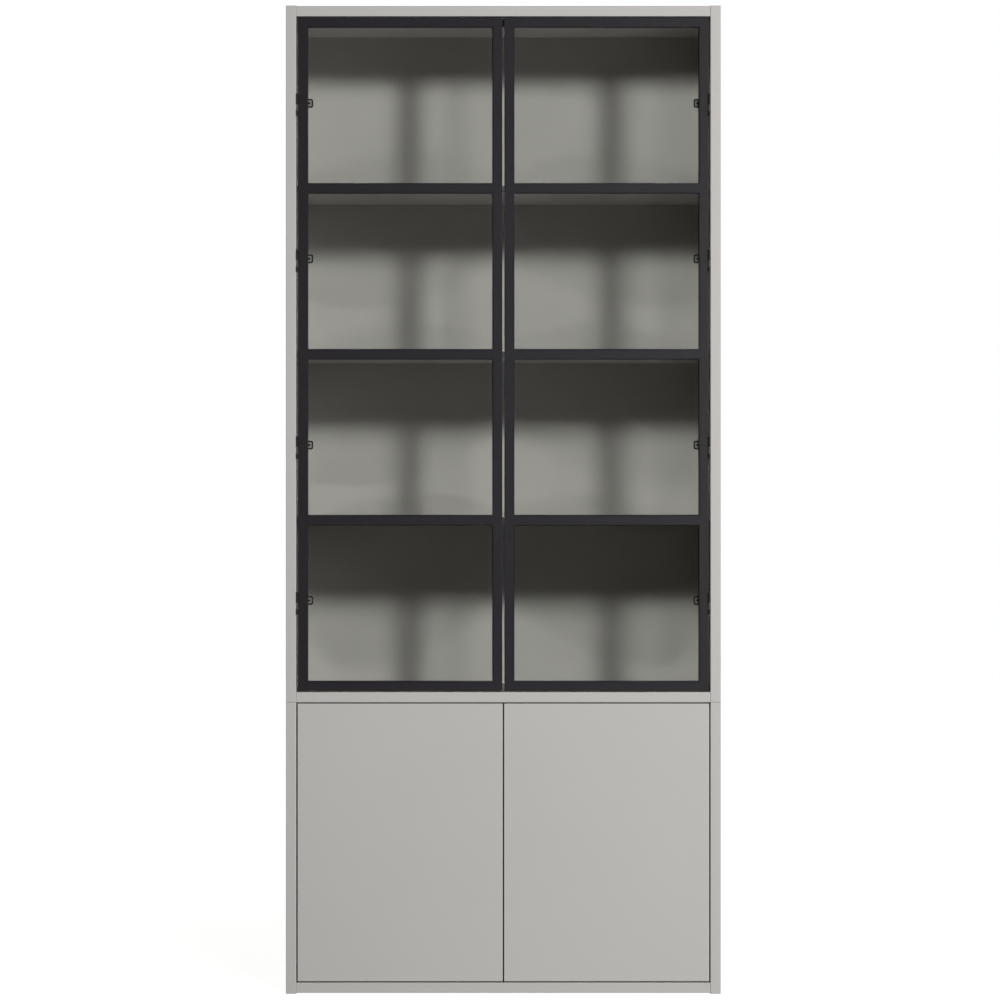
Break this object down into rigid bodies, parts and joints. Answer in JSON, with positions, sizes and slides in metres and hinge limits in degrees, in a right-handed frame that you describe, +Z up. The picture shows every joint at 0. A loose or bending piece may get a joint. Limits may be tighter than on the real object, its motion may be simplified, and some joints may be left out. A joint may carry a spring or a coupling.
{
  "type": "display cabinet",
  "caption": "Tall two-part display cabinet: glazed doors with black metal frames and glazing bars over display shelves, on a closed base with flush push-to-open doors.",
  "frame": {"origin": "on the floor, under the middle of the cabinet's box", "axes": "+X to the right seen from the front, +Y from the front to the back, +Z up"},
  "size_m": [0.924, 0.385, 2.1],
  "materials": {
    "grey_lacquer": "satin warm grey lacquer on board",
    "door_lacquer": "satin warm grey lacquer on board",
    "back_panel": "thin painted fibreboard, matt",
    "black_frame": "fine matt black powder coat",
    "black_hinge": "satin black powder coat",
    "clear_glass": "clear float glass",
    "glazing_rubber": "matt black glazing bead",
    "bright_steel": "nickel plated steel",
    "latch_plastic": "moulded grey plastic",
    "plunger_plastic": "moulded grey plastic"
  },
  "bodies": {
    "cabinet": {"upper_side_left": "grey_lacquer", "upper_side_right": "grey_lacquer", "top_board": "grey_lacquer", "middle_board": "grey_lacquer", "upper_back_panel": "back_panel", "shelf_upper": "grey_lacquer", "shelf_middle": "grey_lacquer", "shelf_lower": "grey_lacquer", "lower_side_left": "grey_lacquer", "lower_side_right": "grey_lacquer", "base_top_panel": "grey_lacquer", "bottom_board": "grey_lacquer", "lower_back_panel": "back_panel", "base_shelf": "grey_lacquer", "upper_latch_housing": "latch_plastic", "lower_latch_housing": "latch_plastic", "glass_hinge_left_1_cabinet_leaf": "black_hinge", "glass_hinge_left_1_pin": "bright_steel", "glass_hinge_left_2_cabinet_leaf": "black_hinge", "glass_hinge_left_2_pin": "bright_steel", "glass_hinge_left_3_cabinet_leaf": "black_hinge", "glass_hinge_left_3_pin": "bright_steel", "glass_hinge_left_4_cabinet_leaf": "black_hinge", "glass_hinge_left_4_pin": "bright_steel", "glass_hinge_right_1_cabinet_leaf": "black_hinge", "glass_hinge_right_1_pin": "bright_steel", "glass_hinge_right_2_cabinet_leaf": "black_hinge", "glass_hinge_right_2_pin": "bright_steel", "glass_hinge_right_3_cabinet_leaf": "black_hinge", "glass_hinge_right_3_pin": "bright_steel", "glass_hinge_right_4_cabinet_leaf": "black_hinge", "glass_hinge_right_4_pin": "bright_steel", "cup_hinge_left_top_arm": "bright_steel", "cup_hinge_left_bottom_arm": "bright_steel", "cup_hinge_right_top_arm": "bright_steel", "cup_hinge_right_bottom_arm": "bright_steel"},
    "glass_door_left": {"glass_door_frame_left": "black_frame", "glass_pane_left": "clear_glass", "glazing_bead_left": "glazing_rubber", "glass_hinge_left_1_door_leaf": "black_hinge", "glass_hinge_left_2_door_leaf": "black_hinge", "glass_hinge_left_3_door_leaf": "black_hinge", "glass_hinge_left_4_door_leaf": "black_hinge"},
    "glass_door_right": {"glass_door_frame_right": "black_frame", "glass_pane_right": "clear_glass", "glazing_bead_right": "glazing_rubber", "glass_hinge_right_1_door_leaf": "black_hinge", "glass_hinge_right_2_door_leaf": "black_hinge", "glass_hinge_right_3_door_leaf": "black_hinge", "glass_hinge_right_4_door_leaf": "black_hinge"},
    "lower_door_left": {"lower_door_panel_left": "door_lacquer", "cup_hinge_left_top_cup": "bright_steel", "cup_hinge_left_bottom_cup": "bright_steel"},
    "lower_door_right": {"lower_door_panel_right": "door_lacquer", "cup_hinge_right_top_cup": "bright_steel", "cup_hinge_right_bottom_cup": "bright_steel"},
    "upper_latch_plunger_left_body": {"upper_latch_plunger_left": "plunger_plastic"},
    "upper_latch_plunger_right_body": {"upper_latch_plunger_right": "plunger_plastic"},
    "lower_latch_plunger_left_body": {"lower_latch_plunger_left": "plunger_plastic"},
    "lower_latch_plunger_right_body": {"lower_latch_plunger_right": "plunger_plastic"}
  },
  "joints": [
    {"name": "glass_door_left_hinge", "type": "hinge", "parent": "cabinet", "child": "glass_door_left", "pos_m": [-0.4372, -0.19015, 0.6438], "axis": [0, 0, -1], "range_deg": [0, 170]},
    {"name": "glass_door_right_hinge", "type": "hinge", "parent": "cabinet", "child": "glass_door_right", "pos_m": [0.4372, -0.19015, 0.6438], "axis": [0, 0, 1], "range_deg": [0, 170]},
    {"name": "lower_door_left_hinge", "type": "hinge", "parent": "cabinet", "child": "lower_door_left", "pos_m": [-0.42044, -0.17905, 0.0265], "axis": [0, 0, -1], "range_deg": [0, 95]},
    {"name": "lower_door_right_hinge", "type": "hinge", "parent": "cabinet", "child": "lower_door_right", "pos_m": [0.42044, -0.17905, 0.0265], "axis": [0, 0, 1], "range_deg": [0, 95]},
    {"name": "upper_latch_left_press", "type": "slide", "parent": "cabinet", "child": "upper_latch_plunger_left_body", "axis": [0, 1, 0], "range_m": [0, 0.004], "stiffness_N_per_m": 150},
    {"name": "upper_latch_right_press", "type": "slide", "parent": "cabinet", "child": "upper_latch_plunger_right_body", "axis": [0, 1, 0], "range_m": [0, 0.004], "stiffness_N_per_m": 150},
    {"name": "lower_latch_left_press", "type": "slide", "parent": "cabinet", "child": "lower_latch_plunger_left_body", "axis": [0, 1, 0], "range_m": [0, 0.004], "stiffness_N_per_m": 150},
    {"name": "lower_latch_right_press", "type": "slide", "parent": "cabinet", "child": "lower_latch_plunger_right_body", "axis": [0, 1, 0], "range_m": [0, 0.004], "stiffness_N_per_m": 150}
  ]
}
